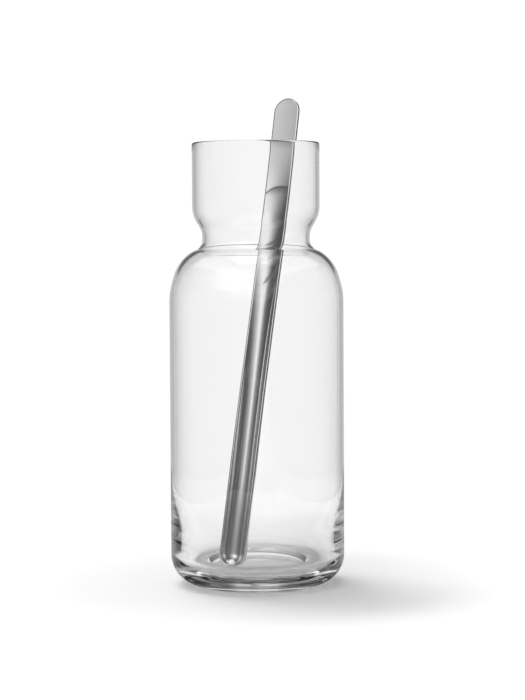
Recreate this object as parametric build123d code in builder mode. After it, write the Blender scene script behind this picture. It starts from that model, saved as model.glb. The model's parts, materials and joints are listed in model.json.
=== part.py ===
"""Glass carafe with a pinched waist, and the steel mixing spoon that leans in it.

Millimetres, +Z up. The origin is the centre of the carafe's foot, and the spoon leans away
from -Y, over the rim at the back and to the right.
"""

import os
from math import asin, atan2, cos, degrees, hypot, radians, sin, tan

from build123d import *

# Carafe, from the rim down
carafe_height = 248.5
collar_radius = 35.8
collar_height = 40.5
collar_taper_height = 9.0
waist_radius = 30.2
waist_height = 8.4
crown_radius = 43.5
crown_drop = 6.4
shoulder_drop = 19.5
body_radius = 49.0
heel_radius = 17.0

# Roundings of the outline: the share of a straight stretch that each end's arc takes up
collar_round_share = 0.50
waist_top_round_share = 0.32
waist_foot_round_share = 0.23
shoulder_round_share = 0.74
side_round_share = 0.26

# Glass thickness
wall = 2.0
base_thickness = 10.8
taper_start_height = 50.0
taper_start_round = 160.0
taper_thickness = 8.2
floor_round = 8.0

# Underside
foot_land_width = 3.9
ring_width = 1.2
ring_step = 0.5
punt_height = 4.2

# Mixing spoon
spoon_length = 272.5
spoon_width = 16.5
steel = 1.6
bowl_depth = 6.4
handle_depth = 0.1
station_shares = (0.0, 0.12, 0.26, 0.40, 0.54, 0.68, 0.84, 1.0)
full_bowl_share = 0.08
flat_handle_share = 0.95

# How the spoon leans in the carafe
lean_azimuth = 30.0
bowl_offset = 28.6
rest_gap = 0.3


def rounding(before, corner, after, share):
    """Radius of the arc at a corner that takes a share of the stretch before it."""
    back, ahead = before - corner, after - corner
    half_angle = radians(back.get_angle(ahead)) / 2
    return share * back.length * tan(half_angle)


def inset_corner(before, corner, after, inset):
    """The corner of the line that runs a fixed distance inside two stretches."""
    into = (corner - before).normalized()
    out = (after - corner).normalized()
    bisector = (into + out).normalized()
    inward = Vector(bisector.Y, -bisector.X)
    return corner + inward * (inset / abs(into.dot(bisector)))


def trough_outline(depth, half):
    """Outline of the spoon across its length, whole or from its spine to one lip."""
    bend = (lip_reach**2 + depth**2) / (2 * depth)
    swing = atan2(lip_reach, bend - depth)

    def at(angle, radius, past=0):
        across = radius * sin(angle) + past * cos(angle)
        return (across, bend - radius * cos(angle) + abs(past) * sin(abs(angle)))

    back, front = bend + steel / 2, bend - steel / 2
    start = 0 if half else -swing
    middle = (start + swing) / 2
    ThreePointArc(at(start, back), at(middle, back), at(swing, back))
    ThreePointArc(at(swing, back), at(swing, bend, steel / 2), at(swing, front))
    ThreePointArc(at(swing, front), at(middle, front), at(start, front))
    if half:
        Line(at(start, front), at(start, back))
    else:
        ThreePointArc(at(start, front), at(start, bend, -steel / 2), at(start, back))


def trough_depth(share):
    """Depth of the spoon's trough at a share of its length from the bowl."""
    reach = (share - full_bowl_share) / (flat_handle_share - full_bowl_share)
    reach = min(max(reach, 0), 1)
    fade = reach**2 * (3 - 2 * reach)
    return bowl_depth + (handle_depth - bowl_depth) * fade


# Outline corners of the outside, as radius and height
collar_foot_height = carafe_height - collar_height
waist_top_height = collar_foot_height - collar_taper_height
waist_foot_height = waist_top_height - waist_height
crown_height = waist_foot_height - crown_drop
side_height = crown_height - shoulder_drop
rim_round = wall / 2
rim_height = carafe_height - rim_round

rim_corner = Vector(collar_radius, rim_height)
collar_corner = Vector(collar_radius, collar_foot_height)
waist_top = Vector(waist_radius, waist_top_height)
waist_foot = Vector(waist_radius, waist_foot_height)
crown_corner = Vector(crown_radius, crown_height)
side_corner = Vector(body_radius, side_height)
heel_corner = Vector(body_radius, 0)
land_edge = Vector(body_radius - heel_radius - foot_land_width, 0)
corners = [rim_corner, collar_corner, waist_top, waist_foot, crown_corner, side_corner, heel_corner]

collar_round = rounding(waist_top, collar_corner, rim_corner, collar_round_share)
waist_top_round = rounding(collar_corner, waist_top, waist_foot, waist_top_round_share)
waist_foot_round = rounding(crown_corner, waist_foot, waist_top, waist_foot_round_share)
shoulder_round = rounding(waist_foot, crown_corner, side_corner, shoulder_round_share)
side_round = rounding(crown_corner, side_corner, heel_corner, side_round_share)

# The inside keeps the wall's distance down to the body, then the glass thickens to the base
inner_corners = [
    inset_corner(*corners[place - 1 : place + 2], wall) for place in range(1, len(corners) - 1)
]
inner_rim = Vector(collar_radius - wall, rim_height)
taper_corner = Vector(body_radius - wall, taper_start_height)
floor_corner = Vector(body_radius - taper_thickness, base_thickness)
floor_centre = Vector(0, base_thickness)
punt_centre = Vector(0, punt_height)
punt_edge = land_edge + Vector(-ring_width, ring_step)

with BuildPart() as carafe:
    with BuildSketch(Plane.XZ):
        with BuildLine():
            FilletPolyline(
                *corners,
                land_edge,
                radius=[
                    collar_round,
                    waist_top_round,
                    waist_foot_round,
                    shoulder_round,
                    side_round,
                    heel_radius,
                ],
            )
            Line(land_edge, punt_edge)
            TangentArc(punt_centre, punt_edge, tangent=(1, 0))
            Line(punt_centre, floor_centre)
            FilletPolyline(
                inner_rim,
                *inner_corners,
                taper_corner,
                floor_corner,
                floor_centre,
                radius=[
                    collar_round - wall,
                    waist_top_round + wall,
                    waist_foot_round + wall,
                    shoulder_round - wall,
                    side_round - wall,
                    taper_start_round,
                    floor_round,
                ],
            )
            ThreePointArc(inner_rim, (collar_radius - rim_round, carafe_height), rim_corner)
        make_face()
    revolve(axis=Axis.Z)

# The spoon's back lies against the rim at both lips, and its round bowl end stands on the floor
lip_reach = (spoon_width - steel) / 2
bowl_bend = (lip_reach**2 + bowl_depth**2) / (2 * bowl_depth)
ball_radius = bowl_bend + steel / 2
ball_height = base_thickness + rest_gap + ball_radius
rim_seat = ((collar_radius - rim_round) ** 2 - lip_reach**2) ** 0.5 + handle_depth
rise = rim_height - ball_height
reach_out = rim_seat + bowl_offset
lean = atan2(reach_out, rise) - asin((ball_radius + rim_round + rest_gap) / hypot(reach_out, rise))

away = Vector(sin(radians(lean_azimuth)), cos(radians(lean_azimuth)), 0)
along = away * sin(lean) + Vector(0, 0, cos(lean))
facing = away * -cos(lean) + Vector(0, 0, sin(lean))
ball_centre = away * -bowl_offset + Vector(0, 0, ball_height)
bowl_plane = Plane(origin=ball_centre - facing * bowl_bend, x_dir=facing.cross(along), z_dir=along)
trough_length = spoon_length - spoon_width

with BuildPart() as mixing_spoon:
    for station_share in station_shares:
        with BuildSketch(bowl_plane.offset(station_share * trough_length)):
            with BuildLine():
                trough_outline(trough_depth(station_share), half=False)
            make_face()
    loft()
    ends = [(0, trough_depth(0), 1), (trough_length, trough_depth(1), -1)]
    for place, depth, turn in ends:
        end_plane = bowl_plane.offset(place)
        with BuildSketch(end_plane):
            with BuildLine():
                trough_outline(depth, half=True)
            make_face()
        revolve(axis=Axis(end_plane.origin, end_plane.y_dir * turn), revolution_arc=180)

os.makedirs("parts", exist_ok=True)
carafe.part.label = "carafe"
mixing_spoon.part.label = "mixing_spoon"
export_step(carafe.part, "parts/carafe.step")
export_step(mixing_spoon.part, "parts/mixing_spoon.step")

print("rounds", round(collar_round, 1), round(waist_top_round, 1), round(waist_foot_round, 1))
print("shoulder", round(shoulder_round, 1), round(side_round, 1))
print("spoon leans", round(degrees(lean), 2), "degrees")
print("spoon axis", [round(value, 5) for value in along])
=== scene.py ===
import json
from math import asin, atan2, ceil, cos, hypot, pi, radians, sin, tan

import bmesh
import bpy
from mathutils import Matrix, Vector


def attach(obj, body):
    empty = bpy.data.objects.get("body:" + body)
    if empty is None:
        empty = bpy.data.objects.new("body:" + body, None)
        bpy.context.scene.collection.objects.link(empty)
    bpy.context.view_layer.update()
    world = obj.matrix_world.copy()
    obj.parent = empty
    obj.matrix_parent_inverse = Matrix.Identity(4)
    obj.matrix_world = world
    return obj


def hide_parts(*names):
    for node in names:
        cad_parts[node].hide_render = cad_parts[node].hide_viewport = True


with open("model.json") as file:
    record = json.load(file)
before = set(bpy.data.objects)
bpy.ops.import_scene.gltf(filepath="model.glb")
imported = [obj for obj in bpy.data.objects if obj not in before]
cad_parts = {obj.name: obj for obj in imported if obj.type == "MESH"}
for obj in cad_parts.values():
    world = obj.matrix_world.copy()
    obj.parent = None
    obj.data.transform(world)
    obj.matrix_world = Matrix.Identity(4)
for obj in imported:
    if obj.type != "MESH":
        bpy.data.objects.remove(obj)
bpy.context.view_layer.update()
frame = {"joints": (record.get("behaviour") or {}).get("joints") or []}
mm = 0.001  # the shapes below are in millimetres
mergeDistance = 0.00002


def fillSocket(tree, socket, value):  # with a link or a number
    if isinstance(value, bpy.types.NodeSocket):
        tree.links.new(value, socket)
    else:
        socket.default_value = value


def addNode(tree, kind, settings=None, **inputs):  # i0, i1 and so on are sockets by place
    node = tree.nodes.new(kind)
    for name, value in (settings or {}).items():
        setattr(node, name, value)
    for name, value in inputs.items():
        byPlace = name[0] == "i" and name[1:].isdigit()
        fillSocket(tree, node.inputs[int(name[1:]) if byPlace else name], value)
    return node


def mathNode(tree, operation, *values):
    node = addNode(tree, "ShaderNodeMath", {"operation": operation})
    for place, value in enumerate(values):
        fillSocket(tree, node.inputs[place], value)
    return node.outputs[0]


def smoothStep(tree, value, start, end, high):
    step = addNode(tree, "ShaderNodeMapRange", {"interpolation_type": "SMOOTHSTEP"}, Value=value)
    for socket, number in (("From Min", start), ("From Max", end), ("To Max", high)):
        step.inputs[socket].default_value = number
    return step.outputs[0]


def newMaterial(name, values):
    material = bpy.data.materials.new(name)
    material.use_nodes = True
    tree = material.node_tree
    shader = tree.nodes["Principled BSDF"]
    for socket, value in values.items():
        shader.inputs[socket].default_value = value
    return material, tree, shader


def addBump(tree, shader, height, depth):
    bump = addNode(tree, "ShaderNodeBump", Height=height, Distance=depth, Strength=1.0)
    tree.links.new(bump.outputs[0], shader.inputs["Normal"])


def finishMesh(mesh, material):  # merged, closed, facing out, smooth
    work = bmesh.new()
    work.from_mesh(mesh)
    bmesh.ops.remove_doubles(work, verts=work.verts, dist=mergeDistance)
    bmesh.ops.recalc_face_normals(work, faces=work.faces)
    for face in work.faces:
        face.smooth = True
    openEdges = sum(not edge.is_manifold for edge in work.edges)
    print(mesh.name, "has", len(work.faces), "faces and", openEdges, "open edges")
    work.to_mesh(mesh)
    work.free()
    mesh.materials.clear()
    mesh.materials.append(material)


# Clear glass with the slow waves of blowing

glassLook = {
    "ior": 1.5,
    "tint": (0.988, 0.988, 0.988, 1.0),
    "roughness": 0.0,
    "waveSize": 22.0,  # waves per metre
    "waveDetail": 1.0,
    "waveHeight": 0.00004,
}


def clearGlass():
    look = glassLook
    material, tree, shader = newMaterial(
        "clearGlass",
        {
            "Base Color": look["tint"],
            "Transmission Weight": 1.0,
            "IOR": look["ior"],
            "Roughness": look["roughness"],
        },
    )
    place = addNode(tree, "ShaderNodeTexCoord").outputs["Object"]
    scale, detail = look["waveSize"], look["waveDetail"]
    waves = addNode(tree, "ShaderNodeTexNoise", Vector=place, Scale=scale, Detail=detail)
    addBump(tree, shader, waves.outputs["Fac"], look["waveHeight"])
    print("clear glass ready")
    return material


# Polished steel: fine lines along the spoon, and patches that are polished a little less

steelLook = {
    "color": (0.66, 0.66, 0.66, 1.0),
    "roughness": 0.025,
    "roughLines": 0.025,  # what the lines and the patches add at most
    "roughPatches": 0.03,
    "linesAcross": 3000.0,  # per metre
    "linesAlong": 25.0,
    "lineDetail": 3.0,
    "lineDepth": 0.0000004,
    "patchSize": 70.0,
    "patchDetail": 2.0,
}


def spoonAxes():
    along = Vector(frame["joints"][0]["axis"]).normalized()
    flat = hypot(along.x, along.y)
    away = Vector((along.x / flat, along.y / flat, 0))  # over the rim
    facing = away * -along.z + Vector((0, 0, flat))  # out of the hollow side
    return {"along": along, "away": away, "facing": facing, "side": facing.cross(along)}


def polishedSteel():
    look = steelLook
    values = {"Base Color": look["color"], "Metallic": 1.0}
    material, tree, shader = newMaterial("polishedSteel", values)
    place = addNode(tree, "ShaderNodeTexCoord").outputs["Object"]

    def stretched(axis, size):
        axis = tuple(axis * size)
        dot = addNode(tree, "ShaderNodeVectorMath", {"operation": "DOT_PRODUCT"}, i0=place, i1=axis)
        return dot.outputs["Value"]

    def noise(vector, scale, detail):
        node = addNode(tree, "ShaderNodeTexNoise", Vector=vector, Scale=scale, Detail=detail)
        return node.outputs["Fac"]

    axes = spoonAxes()
    onSpoon = addNode(
        tree,
        "ShaderNodeCombineXYZ",
        i0=stretched(axes["side"], look["linesAcross"]),
        i1=stretched(axes["facing"], look["linesAcross"]),
        i2=stretched(axes["along"], look["linesAlong"]),
    )
    lines = noise(onSpoon.outputs[0], 1.0, look["lineDetail"])
    patches = noise(place, look["patchSize"], look["patchDetail"])
    rough = mathNode(tree, "MULTIPLY_ADD", lines, look["roughLines"], look["roughness"])
    rough = mathNode(tree, "MULTIPLY_ADD", patches, look["roughPatches"], rough)
    tree.links.new(rough, shader.inputs["Roughness"])
    addBump(tree, shader, lines, look["lineDepth"])
    print("polished steel ready")
    return material


# Carafe: its outline turned round the axis

carafeShape = {  # mm, as in the solid
    "height": 248.5,
    "collarRadius": 35.8,
    "collarHeight": 40.5,
    "collarTaper": 9.0,
    "waistRadius": 30.2,
    "waistHeight": 8.4,
    "crownRadius": 43.5,
    "crownDrop": 6.4,
    "shoulderDrop": 19.5,
    "bodyRadius": 49.0,
    "heelRadius": 17.0,
    "roundShares": (0.50, 0.32, 0.23, 0.74, 0.26),
    "wall": 2.0,
    "baseThickness": 10.8,
    "taperStart": 50.0,
    "taperRound": 160.0,
    "taperThickness": 8.2,
    "floorRound": 8.0,
    "footLand": 3.9,
    "ringWidth": 1.2,
    "ringStep": 0.5,
    "puntHeight": 4.2,
    "stepsRound": 256,
    "stepsRim": 12,
    "stepsPunt": 24,
    "arcStep": 3.0,  # degrees
    "straightStep": 6.0,  # the longest and the shortest straight step
    "leastStep": 0.02,
}


def roundRadius(before, corner, after, share):
    back, ahead = before - corner, after - corner
    return share * back.length * tan(back.angle(ahead) / 2)


def insetCorner(before, corner, after, inset):
    into, out = (corner - before).normalized(), (after - corner).normalized()
    bisector = (into + out).normalized()
    inward = Vector((bisector.y, -bisector.x))
    return corner + inward * (inset / abs(into.dot(bisector)))


def arcPoints(centre, start, end, step):
    a = atan2(start.y - centre.y, start.x - centre.x)
    b = atan2(end.y - centre.y, end.x - centre.x)
    turn = (b - a + pi) % (2 * pi) - pi
    count = max(2, int(abs(turn) / step) + 1)
    radius = (start - centre).length
    angles = [a + turn * place / count for place in range(count + 1)]
    return [centre + Vector((cos(angle), sin(angle))) * radius for angle in angles]


def roundedLine(corners, radii, step):
    points = [corners[0]]
    for before, corner, after, radius in zip(corners, corners[1:], corners[2:], radii):
        back, ahead = (before - corner).normalized(), (after - corner).normalized()
        half = back.angle(ahead) / 2
        reach = radius / tan(half)
        centre = corner + (back + ahead).normalized() * (radius / sin(half))
        points += arcPoints(centre, corner + back * reach, corner + ahead * reach, step)
    return points + [corners[-1]]


def carafeOutline(s):  # from the middle of the underside, over the rim, to the middle of the floor
    wall, edge = s["wall"], s["wall"] / 2
    rim = Vector((s["collarRadius"], s["height"] - edge))
    collarFoot = Vector((s["collarRadius"], s["height"] - s["collarHeight"]))
    waistTop = Vector((s["waistRadius"], collarFoot.y - s["collarTaper"]))
    waistFoot = Vector((s["waistRadius"], waistTop.y - s["waistHeight"]))
    crown = Vector((s["crownRadius"], waistFoot.y - s["crownDrop"]))
    side = Vector((s["bodyRadius"], crown.y - s["shoulderDrop"]))
    heel = Vector((s["bodyRadius"], 0))
    land = Vector((s["bodyRadius"] - s["heelRadius"] - s["footLand"], 0))
    outer = [rim, collarFoot, waistTop, waistFoot, crown, side, heel, land]
    turns = [
        (waistTop, collarFoot, rim),
        (collarFoot, waistTop, waistFoot),
        (crown, waistFoot, waistTop),
        (waistFoot, crown, side),
        (crown, side, heel),
    ]
    rounds = [roundRadius(*turn, share) for turn, share in zip(turns, s["roundShares"])]
    collarRound, waistTopRound, waistFootRound, shoulderRound, sideRound = rounds

    inner = [rim - Vector((wall, 0))]
    for place in range(1, len(turns) + 1):
        inner.append(insetCorner(*outer[place - 1 : place + 2], wall))
    inner += [
        Vector((s["bodyRadius"] - wall, s["taperStart"])),
        Vector((s["bodyRadius"] - s["taperThickness"], s["baseThickness"])),
        Vector((0, s["baseThickness"])),
    ]
    innerRounds = [
        collarRound - wall,
        waistTopRound + wall,
        waistFootRound + wall,
        shoulderRound - wall,
        sideRound - wall,
        s["taperRound"],
        s["floorRound"],
    ]

    rimCentre = rim - Vector((edge, 0))
    rimAngles = [pi * place / s["stepsRim"] for place in range(1, s["stepsRim"])]
    rimArc = [rimCentre + Vector((cos(angle), sin(angle))) * edge for angle in rimAngles]

    puntEdge = land + Vector((-s["ringWidth"], s["ringStep"]))
    rise = s["puntHeight"] - s["ringStep"]
    puntRadius = (puntEdge.x**2 + rise**2) / (2 * rise)
    puntSwing = asin(puntEdge.x / puntRadius)
    puntAngles = [puntSwing * place / s["stepsPunt"] for place in range(s["stepsPunt"] + 1)]
    puntBottom = Vector((0, s["puntHeight"] - puntRadius))
    punt = [puntBottom + Vector((sin(angle), cos(angle))) * puntRadius for angle in puntAngles]

    step = radians(s["arcStep"])
    outside = roundedLine(outer[::-1], [s["heelRadius"]] + rounds[::-1], step)
    return punt + outside + rimArc + roundedLine(inner, innerRounds, step)


def splitLong(points, longest):
    split = [points[0]]
    for start, end in zip(points, points[1:]):
        count = max(1, ceil((end - start).length / longest))
        split += [start.lerp(end, place / count) for place in range(1, count + 1)]
    return split


def turnedTree():
    tree = bpy.data.node_groups.new("turnedGlass", "GeometryNodeTree")
    face = tree.interface
    face.new_socket("Geometry", in_out="INPUT", socket_type="NodeSocketGeometry")
    for name, kind in (
        ("Outline Points", "NodeSocketInt"),
        ("Steps Round", "NodeSocketInt"),
        ("Material", "NodeSocketMaterial"),
    ):
        face.new_socket(name, in_out="INPUT", socket_type=kind)
    face.new_socket("Geometry", in_out="OUTPUT", socket_type="NodeSocketGeometry")
    given = tree.nodes.new("NodeGroupInput").outputs
    rows = mathNode(tree, "ADD", given["Steps Round"], 1)
    points, size = given["Outline Points"], 1.0  # of the flat grid, with its middle at zero
    grid = addNode(tree, "GeometryNodeMeshGrid", i0=size, i1=size, i2=points, i3=rows)
    place = addNode(tree, "GeometryNodeInputPosition").outputs[0]
    parts = addNode(tree, "ShaderNodeSeparateXYZ", i0=place).outputs
    share = mathNode(tree, "ADD", parts[0], size / 2)
    along = mathNode(tree, "MULTIPLY", share, mathNode(tree, "SUBTRACT", points, 1))
    sample = addNode(
        tree,
        "GeometryNodeSampleIndex",
        {"data_type": "FLOAT_VECTOR", "domain": "POINT"},
        Geometry=given["Geometry"],
        Value=place,
        Index=mathNode(tree, "ROUND", along),
    )
    point = addNode(tree, "ShaderNodeSeparateXYZ", i0=sample.outputs[0]).outputs
    angle = mathNode(tree, "MULTIPLY", mathNode(tree, "ADD", parts[1], size / 2), 2 * pi)
    across = mathNode(tree, "MULTIPLY", point[0], mathNode(tree, "COSINE", angle))
    deep = mathNode(tree, "MULTIPLY", point[0], mathNode(tree, "SINE", angle))
    turned = addNode(tree, "ShaderNodeCombineXYZ", i0=across, i1=deep, i2=point[2])
    shape = grid.outputs[0]
    for kind, inputs in (
        ("SetPosition", {"Position": turned.outputs[0]}),
        ("MergeByDistance", {"Distance": mergeDistance}),
        ("RealizeInstances", {}),
        ("SetMaterial", {"Material": given["Material"]}),
    ):
        shape = addNode(tree, "GeometryNode" + kind, Geometry=shape, **inputs).outputs[0]
    tree.links.new(shape, tree.nodes.new("NodeGroupOutput").inputs[0])
    return tree


def treeToMesh(name, start, tree, inputs):
    holder = bpy.data.objects.new(name + "Start", start)
    bpy.context.scene.collection.objects.link(holder)
    modifier = holder.modifiers.new(name, "NODES")
    modifier.node_group = tree
    items = tree.interface.items_tree
    sockets = {item.name: item.identifier for item in items if item.in_out == "INPUT"}
    for key, value in inputs.items():
        modifier[sockets[key]] = value
    graph = bpy.context.evaluated_depsgraph_get()
    mesh = bpy.data.meshes.new_from_object(holder.evaluated_get(graph))
    holder.modifiers.remove(modifier)
    bpy.data.objects.remove(holder)
    mesh.name = name
    return mesh


def buildCarafe(material):
    s = carafeShape
    outline = splitLong(carafeOutline(s), s["straightStep"])
    least = s["leastStep"]
    kept = [outline[0]] + [b for a, b in zip(outline, outline[1:]) if (b - a).length > least]
    points = [(point.x * mm, 0, point.y * mm) for point in kept]
    line = bpy.data.meshes.new("carafeOutline")
    line.from_pydata(points, [], [])
    inputs = {"Outline Points": len(points), "Steps Round": s["stepsRound"], "Material": material}
    mesh = treeToMesh("glassCarafe", line, turnedTree(), inputs)
    finishMesh(mesh, material)
    piece = bpy.data.objects.new("glassCarafe", mesh)
    bpy.context.scene.collection.objects.link(piece)
    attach(piece, "carafe")
    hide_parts("carafe")
    print("carafe built from", len(points), "outline points")


# Mixing spoon: a flat handle that deepens into a trough, with round ends

spoonShape = {  # mm, as in the solid
    "length": 272.5,
    "width": 16.5,
    "steel": 1.6,
    "bowlDepth": 6.4,
    "handleDepth": 0.1,
    "fullBowlShare": 0.08,
    "flatHandleShare": 0.95,
    "bowlOffset": 28.6,
    "restGap": 0.3,
    "stationsAlong": 150,
    "stepsAcross": 40,
    "stepsLip": 8,
    "stepsCap": 32,
}


def troughDepth(s, share):
    reach = (share - s["fullBowlShare"]) / (s["flatHandleShare"] - s["fullBowlShare"])
    reach = min(max(reach, 0), 1)
    return s["bowlDepth"] + (s["handleDepth"] - s["bowlDepth"]) * reach * reach * (3 - 2 * reach)


def halfSection(s, depth):  # from the spine's back round one lip to the spine's front
    lip = (s["width"] - s["steel"]) / 2
    bend = (lip**2 + depth**2) / (2 * depth)
    swing = atan2(lip, bend - depth)
    edge = s["steel"] / 2

    def at(angle, radius, past=0):
        across = radius * sin(angle) + past * cos(angle)
        return across, bend - radius * cos(angle) + past * sin(angle)

    sweep = [swing * place / s["stepsAcross"] for place in range(s["stepsAcross"] + 1)]
    turns = [pi * place / s["stepsLip"] for place in range(1, s["stepsLip"])]
    back = [at(angle, bend + edge) for angle in sweep]
    lipRound = [at(swing, bend + edge * cos(turn), edge * sin(turn)) for turn in turns]
    front = [at(angle, bend - edge) for angle in reversed(sweep)]
    return back + lipRound + front


def buildSpoon(material):
    s = spoonShape
    along, away, facing, side = spoonAxes().values()
    lip = (s["width"] - s["steel"]) / 2
    bend = (lip**2 + s["bowlDepth"] ** 2) / (2 * s["bowlDepth"])
    ballRadius = bend + s["steel"] / 2
    ballHeight = carafeShape["baseThickness"] + s["restGap"] + ballRadius
    start = away * -s["bowlOffset"] + Vector((0, 0, ballHeight)) - facing * bend
    reach = s["length"] - s["width"]
    mesh = bmesh.new()

    def loops(rows, closed):
        rows = [[mesh.verts.new(point * mm) for point in row] for row in rows]
        for low, high in zip(rows, rows[1:]):
            count = len(low)
            for place in range(count if closed else count - 1):
                after = (place + 1) % count
                mesh.faces.new((low[place], low[after], high[after], high[place]))

    rows = []
    for station in range(s["stationsAlong"] + 1):
        share = station / s["stationsAlong"]
        half = halfSection(s, troughDepth(s, share))
        whole = half + [(-x, y) for x, y in reversed(half[1:-1])]
        rows.append([start + side * x + facing * y + along * reach * share for x, y in whole])
    loops(rows, True)
    for share, turn in ((0, -1), (1, 1)):
        half = halfSection(s, troughDepth(s, share))
        centre = start + along * reach * share
        rows = []
        for step in range(s["stepsCap"] + 1):
            angle = pi * step / s["stepsCap"]
            outward = side * cos(angle) + along * turn * sin(angle)
            rows.append([centre + outward * x + facing * y for x, y in half])
        loops(rows, False)
    result = bpy.data.meshes.new("steelSpoon")
    mesh.to_mesh(result)
    mesh.free()
    finishMesh(result, material)
    piece = bpy.data.objects.new("steelSpoon", result)
    bpy.context.scene.collection.objects.link(piece)
    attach(piece, "spoon")
    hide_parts("mixing_spoon")
    print("spoon built along", [round(value, 4) for value in along])


# Studio light: a white field behind, soft lamps and dark sides

studioLight = {
    "room": 0.115,
    "seen": 1.02,  # the plain white round the table
    "through": 1.05,  # the white that the glass lets through
    "fieldHeight": 14.0,  # degrees above the horizon that this white reaches
    "fieldEdge": 10.0,
    "bounces": 32,  # light turns many times inside thick glass
    # azimuth from the front towards the left, height, tilt, half width and half height in
    # degrees, even share of the width and of the height, brightness
    "lamps": {
        "backField": (180, -3, 0, 50, 14, 0.62, 0.6, 0.37),
        "backCore": (180, 3, 0, 9, 18, 0.5, 0.55, 0.95),
        "softbox": (34.7, 30.1, 14.3, 47.2, 16.1, 0.09, 0.5, 1.31),
        "softboxSide": (24.9, 33, 29.1, 58, 44.4, 0, 0, 1.0),
        "ceiling": (0, 90, 0, 24, 24, 0.5, 0.5, 1.4),
        "rightCard": (-119, 12, 0, 36, 36, 0.3, 0.3, 0.34),
    },
    "key": (140, 58, 0, 28, 28, 0.2, 0.2, 4.9),  # lights the table alone
}


def lampAxes(azimuth, height, tilt):  # towards the lamp, and along its width and height
    a, h, t = radians(azimuth), radians(height), radians(tilt)
    towards = Vector((-sin(a) * cos(h), -cos(a) * cos(h), sin(h)))
    across = Vector((-cos(a), sin(a), 0))
    upright = across.cross(towards)
    return towards, across * cos(t) + upright * sin(t), upright * cos(t) - across * sin(t)


def buildLight():
    s = studioLight
    world = bpy.data.worlds.new("studio")
    bpy.context.scene.world = world
    world.use_nodes = True
    tree = world.node_tree
    direction = addNode(tree, "ShaderNodeTexCoord").outputs["Generated"]

    def calc(operation, *values):
        return mathNode(tree, operation, *values)

    def along(axis):
        dot = addNode(tree, "ShaderNodeVectorMath", {"operation": "DOT_PRODUCT"}, i0=direction)
        dot.inputs[1].default_value = axis
        return dot.outputs["Value"]

    def lamp(azimuth, height, tilt, halfWidth, halfHeight, evenWidth, evenHeight, brightness):
        towards, across, upright = lampAxes(azimuth, height, tilt)
        wide = calc("ABSOLUTE", along(across / sin(radians(halfWidth))))
        high = calc("ABSOLUTE", along(upright / sin(radians(halfHeight))))
        facing = calc("GREATER_THAN", along(towards), 0)
        shape = calc("MULTIPLY", facing, smoothStep(tree, wide, 1, evenWidth, brightness))
        return calc("MULTIPLY", shape, smoothStep(tree, high, 1, evenHeight, 1))

    def pick(share, low, high):
        node = addNode(tree, "ShaderNodeMix", {"data_type": "FLOAT"}, i0=share, i2=low, i3=high)
        return node.outputs[0]

    lamps = 0.0
    for light in s["lamps"].values():
        lamps = calc("MAXIMUM", lamps, lamp(*light))
    lamps = calc("ADD", lamps, s["room"])
    up = addNode(tree, "ShaderNodeSeparateXYZ", i0=direction).outputs[2]
    top, end = s["fieldHeight"], s["fieldHeight"] + s["fieldEdge"]
    field = smoothStep(tree, up, sin(radians(end)), sin(radians(top)), s["through"])

    rays = addNode(tree, "ShaderNodeLightPath").outputs
    noDiffuse = calc("LESS_THAN", rays["Diffuse Depth"], 1)
    noGlossy = calc("LESS_THAN", rays["Glossy Depth"], 1)
    seen = calc("MAXIMUM", rays["Is Glossy Ray"], rays["Is Transmission Ray"])
    seen = calc("MULTIPLY", seen, noDiffuse)
    straight = calc("MULTIPLY", rays["Is Transmission Ray"], noGlossy)
    straight = calc("MULTIPLY", straight, noDiffuse)

    strength = pick(seen, calc("ADD", lamps, lamp(*s["key"])), lamps)
    strength = pick(straight, strength, calc("MAXIMUM", lamps, field))
    strength = pick(rays["Is Camera Ray"], strength, s["seen"])
    background = tree.nodes["Background"]
    background.inputs["Color"].default_value = (1, 1, 1, 1)
    tree.links.new(strength, background.inputs["Strength"])
    paths = bpy.context.scene.cycles
    paths.max_bounces = paths.glossy_bounces = paths.transmission_bounces = s["bounces"]
    print("studio lit by", len(s["lamps"]) + 1, "lamps")


# Table: a narrow white sheet, because a wide one would light the lower edges of the glass

studioTable = {
    "width": 0.34,
    "front": -0.3,
    "back": 0.3,
    "color": (0.9, 0.9, 0.9, 1),
    "roughness": 0.9,
    "shine": 0.1,
    "glow": 0.19,
    # the glow is weaker near the axis: a painted shade round the foot that darkens the shadow there
    "paintedShadeDepth": 0.08,
    "paintedShadeFadeStart": 0.05,  # metres from the axis
    "paintedShadeFadeEnd": 0.16,
    "fadeStart": 0.1,  # where it turns into the white behind it
    "fadeEnd": 0.17,
}


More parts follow.
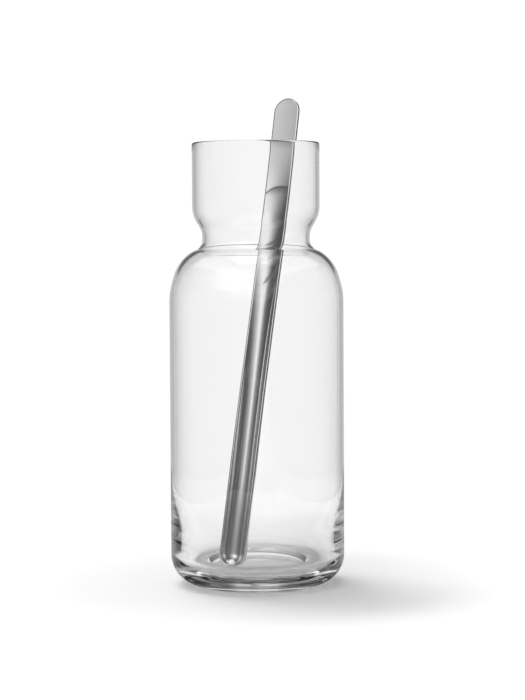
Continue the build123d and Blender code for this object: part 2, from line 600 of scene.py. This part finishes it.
def buildTable():
    s = studioTable
    material, tree, shader = newMaterial(
        "tableWhite",
        {
            "Base Color": s["color"],
            "Roughness": s["roughness"],
            "Specular IOR Level": s["shine"],
            "Emission Color": (1, 1, 1, 1),
        },
    )
    place = addNode(tree, "ShaderNodeTexCoord").outputs["Object"]
    away = addNode(tree, "ShaderNodeVectorMath", {"operation": "LENGTH"}, i0=place).outputs["Value"]
    # less glow close to the carafe: painted shade round its foot, lifting between the two distances
    glow = smoothStep(tree, away, s["paintedShadeFadeStart"], s["paintedShadeFadeEnd"], s["paintedShadeDepth"])
    glow = mathNode(tree, "ADD", glow, s["glow"])
    tree.links.new(glow, shader.inputs["Emission Strength"])
    fade = smoothStep(tree, away, s["fadeStart"], s["fadeEnd"], 1)
    white = addNode(tree, "ShaderNodeEmission", Strength=studioLight["through"]).outputs[0]
    mixed = addNode(tree, "ShaderNodeMixShader", i0=fade, i1=shader.outputs[0], i2=white)
    tree.links.new(mixed.outputs[0], tree.nodes["Material Output"].inputs["Surface"])

    right, front, back = s["width"] / 2, s["front"], s["back"]
    corners = [(-right, front, 0), (right, front, 0), (right, back, 0), (-right, back, 0)]
    mesh = bpy.data.meshes.new("studioTable")
    mesh.from_pydata(corners, [], [(0, 1, 2, 3)])
    mesh.materials.append(material)
    table = bpy.data.objects.new("studioTable", mesh)
    bpy.context.scene.collection.objects.link(table)
    table.visible_glossy = False
    print("table laid")


# Camera where the photograph was taken from

camera = {
    "distance": 1.150,
    "height": 0.1973,
    "focal": 2043.5,  # pixels of the 525 x 700 picture
    "longSide": 700,
    "sensor": 36.0,
    "down": 3.247,  # degrees
    "right": 0.164,
    "roll": 0.320,
    "clip": (0.01, 50),
}


def buildCamera():
    c = camera
    data = bpy.data.cameras.new("photoCamera")
    data.sensor_width = c["sensor"]
    data.lens = c["focal"] * c["sensor"] / c["longSide"]
    data.clip_start, data.clip_end = c["clip"]
    piece = bpy.data.objects.new("photoCamera", data)
    bpy.context.scene.collection.objects.link(piece)
    turn = Matrix.Rotation(radians(-c["right"]), 4, "Z")
    turn = turn @ Matrix.Rotation(radians(90 - c["down"]), 4, "X")
    turn = turn @ Matrix.Rotation(radians(-c["roll"]), 4, "Z")
    piece.matrix_world = Matrix.Translation((0, -c["distance"], c["height"])) @ turn
    bpy.context.scene.camera = piece
    bpy.context.scene.view_settings.view_transform = "Standard"
    print("camera placed")


buildCarafe(clearGlass())
buildSpoon(polishedSteel())
buildLight()
buildTable()
buildCamera()
